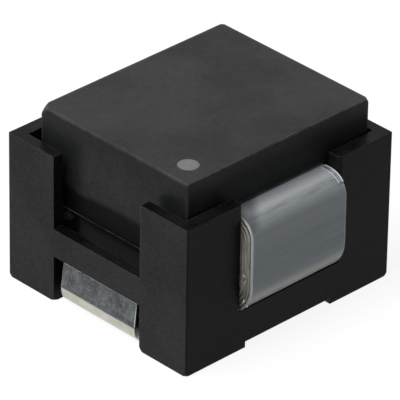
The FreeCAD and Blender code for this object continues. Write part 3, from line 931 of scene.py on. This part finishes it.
# %% Shape the wrapping film
half_wrap = wrap_high.x
edge_wander = 0.018 * mm
wave_height = 0.010 * mm
curl_height = 0.035 * mm


def wrap_shape(share, travelled, place):
    """Across: edges that wander. Out: faint waves and a start edge that curls outside the core."""
    spread = 2 * share - 1
    crowded = math.copysign(1 - (1 - abs(spread)) ** 1.6, spread)
    wander = edge_wander * uneven(travelled / mm * 0.9, 0.0, 3.0 + math.copysign(2, spread))
    across = crowded * half_wrap + wander * ease(abs(crowded), 0.7, 1.0)
    waves = wave_height * uneven(across / mm * 0.25, travelled / mm * 1.3, 1.0)
    outside = ease(-place.y, -core_low.y + 0.05 * mm, -core_low.y + 0.30 * mm)
    curl = ease(-across, half_wrap - 0.18 * mm, half_wrap - 0.01 * mm)
    return across, waves + curl_height * curl * outside


wrapping = lay_ribbon("wrapping_film", wrap_path, 0.10 * mm, 56, wrap_shape, wrap_film)
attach(wrapping, "root")
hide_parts("outer_wrap")
print("wrapping film faces:", len(wrapping.data.polygons))

# %% Make the finish of the folded end
fold_film, tree, shader = start_material("folded_film")
patches = place_effect(tree, patch_group, Patches_per_metre=2600.0, Shift=19.0)
from_middle = math_node(tree, "ABSOLUTE", own_axes(tree)["X"])
outer_rim = steps_between(tree, from_middle, half_wrap - 0.07 * mm, half_wrap - 0.02 * mm)
inner_rim = steps_between(tree, from_middle, half_wrap - 0.25 * mm, half_wrap - 0.30 * mm)
rims = math_node(tree, "MAXIMUM", outer_rim, inner_rim)
cloudy = mix_colours(tree, patches["Mask"], (0.18, 0.21, 0.25), (0.42, 0.46, 0.52))
tree.links.new(mix_colours(tree, rims, cloudy, (0.80, 0.82, 0.84)), shader.inputs["Base Color"])
vary(tree, patches["Mask"], 0.25, 0.40, shader.inputs["Roughness"])
vary(tree, patches["Mask"], 0.5, 1.0, shader.inputs["Coat Weight"])
raise_surface(tree, shader, patches["Mask"], 0.03 * mm, 0.6)
print("finished:", fold_film.name)

# %% Shape the film's folded end
fold_inset = 0.155 * mm
fold_half_width = 0.16 * mm
fold_length = 0.42 * mm


def fold_shape(share, travelled, place):
    """Narrow strip at the finish side with both of its rims turned up."""
    spread = 2 * share - 1
    width = fold_half_width * (1 + 0.15 * uneven(travelled / mm * 2.0, 0.0, 21.0))
    across = half_wrap - fold_inset + spread * width
    raised = 0.020 * mm + 0.035 * mm * abs(spread) ** 3
    return across, raised + 0.012 * mm * uneven(travelled / mm * 2.5, spread, 23.0)


bend_middle = Vector((0, outer.top_radius - outer.side, outer.top - outer.top_radius))
fold_path = []
for angle in range(140, 89, -5):
    turned = Vector((0, math.cos(math.radians(angle)), math.sin(math.radians(angle))))
    fold_path.append(bend_middle + turned * outer.top_radius)
walk_to(fold_path, bend_middle.y + fold_length, outer.top, 0.05 * mm)
fold = lay_ribbon("film_fold", fold_path, 0.03 * mm, 8, fold_shape, fold_film)
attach(fold, "root")
print("folded end faces:", len(fold.data.polygons))

# %% Walk the spiral of the film between the turns
film_depth = 0.05 * mm
leaf_end = 0.6 * mm
bar_low, bar_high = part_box("centre_core")
roll_level = (bar_low.z + bar_high.z) / 2
lead_half_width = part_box("start_lead")[1].z - roll_level
leaf_start = roll_level - lead_half_width
leaf_path = [Vector((0, -section_at(5, film_depth).side, leaf_start))]
for turns_in in (5, 4, 3, 2):
    walk_over(leaf_path, turns_in, film_depth)
    walk_under(leaf_path, turns_in, film_depth)
walk_over(leaf_path, 1, film_depth)
last_turn = section_at(1, film_depth)
walk_rear_corner(leaf_path, last_turn, -90)
walk_to(leaf_path, step_half + leaf_end, last_turn.bottom)
print("the spiral follows", len(leaf_path), "points from", round(leaf_start / mm, 3), "mm up")

# %% Shape the film between the turns
half_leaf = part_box("interleaf_film")[1].x
fray_reach = 0.05 * mm


def leaf_shape(share, travelled, place):
    """Flat between the foil's turns, then frayed and folded out over the foil's slit edge."""
    spread = 2 * share - 1
    hand = math.copysign(1, spread)
    crowded = hand * (1 - (1 - abs(spread)) ** 2.4)
    fray = abs(uneven(travelled / mm * 2.3, 5.0 * hand, 8.0)) * ease(abs(crowded), 0.93, 1.0)
    across = crowded * half_leaf + hand * fray_reach * fray
    crushed = 0.075 + 0.07 * uneven(travelled / mm * 1.1, 3.0 * hand, 5.0)
    past_foil = ease(abs(across), half_foil + 0.01 * mm, half_leaf - 0.02 * mm)
    return across, crushed * mm * past_foil


leaf = lay_ribbon("film_between_turns", leaf_path, 0.05 * mm, 18, leaf_shape, interleaf)
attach(leaf, "root")
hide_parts("interleaf_film")
print("film between turns faces:", len(leaf.data.polygons))

# %% [markdown]
# ### Loose shreds of film
# Where the film was cut by hand, a few shreds stay on the open end of the roll and curl out over
# the edge of the window. Each one is made of rings of points along a bowed line, thickest near its
# middle. For each shred a row below gives its start from the middle of the window's edge, how far
# it runs and its radius, all in millimetres. The other side of the part has the same shreds turned
# half round, because the part looks the same from both sides.

# %% Skin rings of points
def skin_rings(shape, rings):
    """Faces between neighbouring rings, and one face over each end."""
    count = len(rings[0])
    for near, far in zip(rings, rings[1:]):
        for corner in range(count):
            after = (corner + 1) % count
            shape.faces.new((near[corner], near[after], far[after], far[corner]))
    shape.faces.new(rings[0][::-1])
    shape.faces.new(rings[-1])


print("helper ready:", skin_rings.__name__)

# %% Shape one shred
def lay_shred(shreds, spine, radius, sides=8):
    """Tapered, slightly flattened bit of film along a few points."""
    rings = []
    for number, place in enumerate(spine):
        share = number / (len(spine) - 1)
        size = radius * (0.35 + 0.65 * math.sin(math.pi * (0.15 + 0.75 * share)))
        ring = []
        for corner in range(sides):
            angle = 2 * math.pi * corner / sides
            around_spine = Vector((0.6 * math.cos(angle), math.sin(angle), 0.5 * math.cos(angle)))
            ring.append(shreds.verts.new(place + around_spine * size))
        rings.append(ring)
    skin_rings(shreds, rings)


print("helper ready:", lay_shred.__name__)

# %% Add the shreds
roll_middle = (wrap_low.z + wrap_high.z) / 2
rim_place = Vector((wrap_low.x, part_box("header")[0].y, roll_middle))
spine_steps = 5
shred_bow = 0.04
shreds = bmesh.new()
for half_turn in (1, -1):
    for x, y, z, dx, dy, dz, radius in (
        (0.04, -0.18, -0.45, -0.11, 0.12, 0.26, 0.055),
        (0.03, -0.22, -0.55, -0.09, 0.13, -0.16, 0.045),
        (0.02, -0.12, -1.66, -0.10, 0.06, -0.20, 0.055),
        (0.04, -0.38, -1.86, -0.06, 0.12, -0.16, 0.045),
    ):
        spine = []
        for step in range(spine_steps + 1):
            share = step / spine_steps
            bow = shred_bow * math.sin(math.pi * share)
            offset = Vector((x + dx * share - bow, y + dy * share - bow, z + dz * share))
            point = rim_place + offset * mm
            spine.append(Vector((point.x * half_turn, point.y * half_turn, point.z)))
        lay_shred(shreds, spine, radius * mm)
bmesh.ops.recalc_face_normals(shreds, faces=shreds.faces)
loose = make_object("film_shreds", shreds, fold_film)
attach(loose, "root")
print("shreds:", len(loose.data.polygons), "faces")

# %% [markdown]
# ## Adhesive beads
# Each bead is a short run of black adhesive pressed from a needle into the gap between core and
# wall. It sags before it sets, so it is fatter in the middle and lower, and never quite round.
# Rings of points along the bead, each pushed about a little, give that shape.

# %% Shape one bead
def lay_bead(name, low, high, seed, rings_along=20, sides=20):
    """Sagging bead that fills a box from end to end."""
    bead = bmesh.new()
    middle = (low + high) / 2
    half = (high - low) / 2
    rings = []
    for step in range(1, rings_along):
        along = -math.cos(math.pi * step / rings_along)
        fullness = math.sqrt(1 - along * along) ** 0.75
        ring = []
        for corner in range(sides):
            angle = 2 * math.pi * corner / sides
            place = Vector((math.cos(angle), along * 2.0, math.sin(angle) + seed))
            push = 1.0 + 0.16 * noise.noise(place)
            across = math.cos(angle) * half.x * fullness
            up = math.sin(angle) * half.z * fullness * push - 0.12 * half.z * fullness
            ring.append(bead.verts.new(middle + Vector((across, along * half.y, up))))
        rings.append(ring)
    skin_rings(bead, rings)
    bmesh.ops.recalc_face_normals(bead, faces=bead.faces)
    piece = make_object(name, bead, adhesive)
    smoother = piece.modifiers.new("smoother", "SUBSURF")
    smoother.levels = 1
    smoother.render_levels = 1
    return piece


print("helper ready:", lay_bead.__name__)

# %% Lay the four beads
seed = 0.0
seed_step = 3.7
for end in ("start", "finish"):
    for row in ("front", "rear"):
        node = end + "_" + row + "_adhesive_bead"
        seed += seed_step
        bead = lay_bead(end + "_" + row + "_bead", *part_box(node), seed)
        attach(bead, "root")
        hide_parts(node)
        print("laid", bead.name, "with", len(bead.data.polygons), "faces")
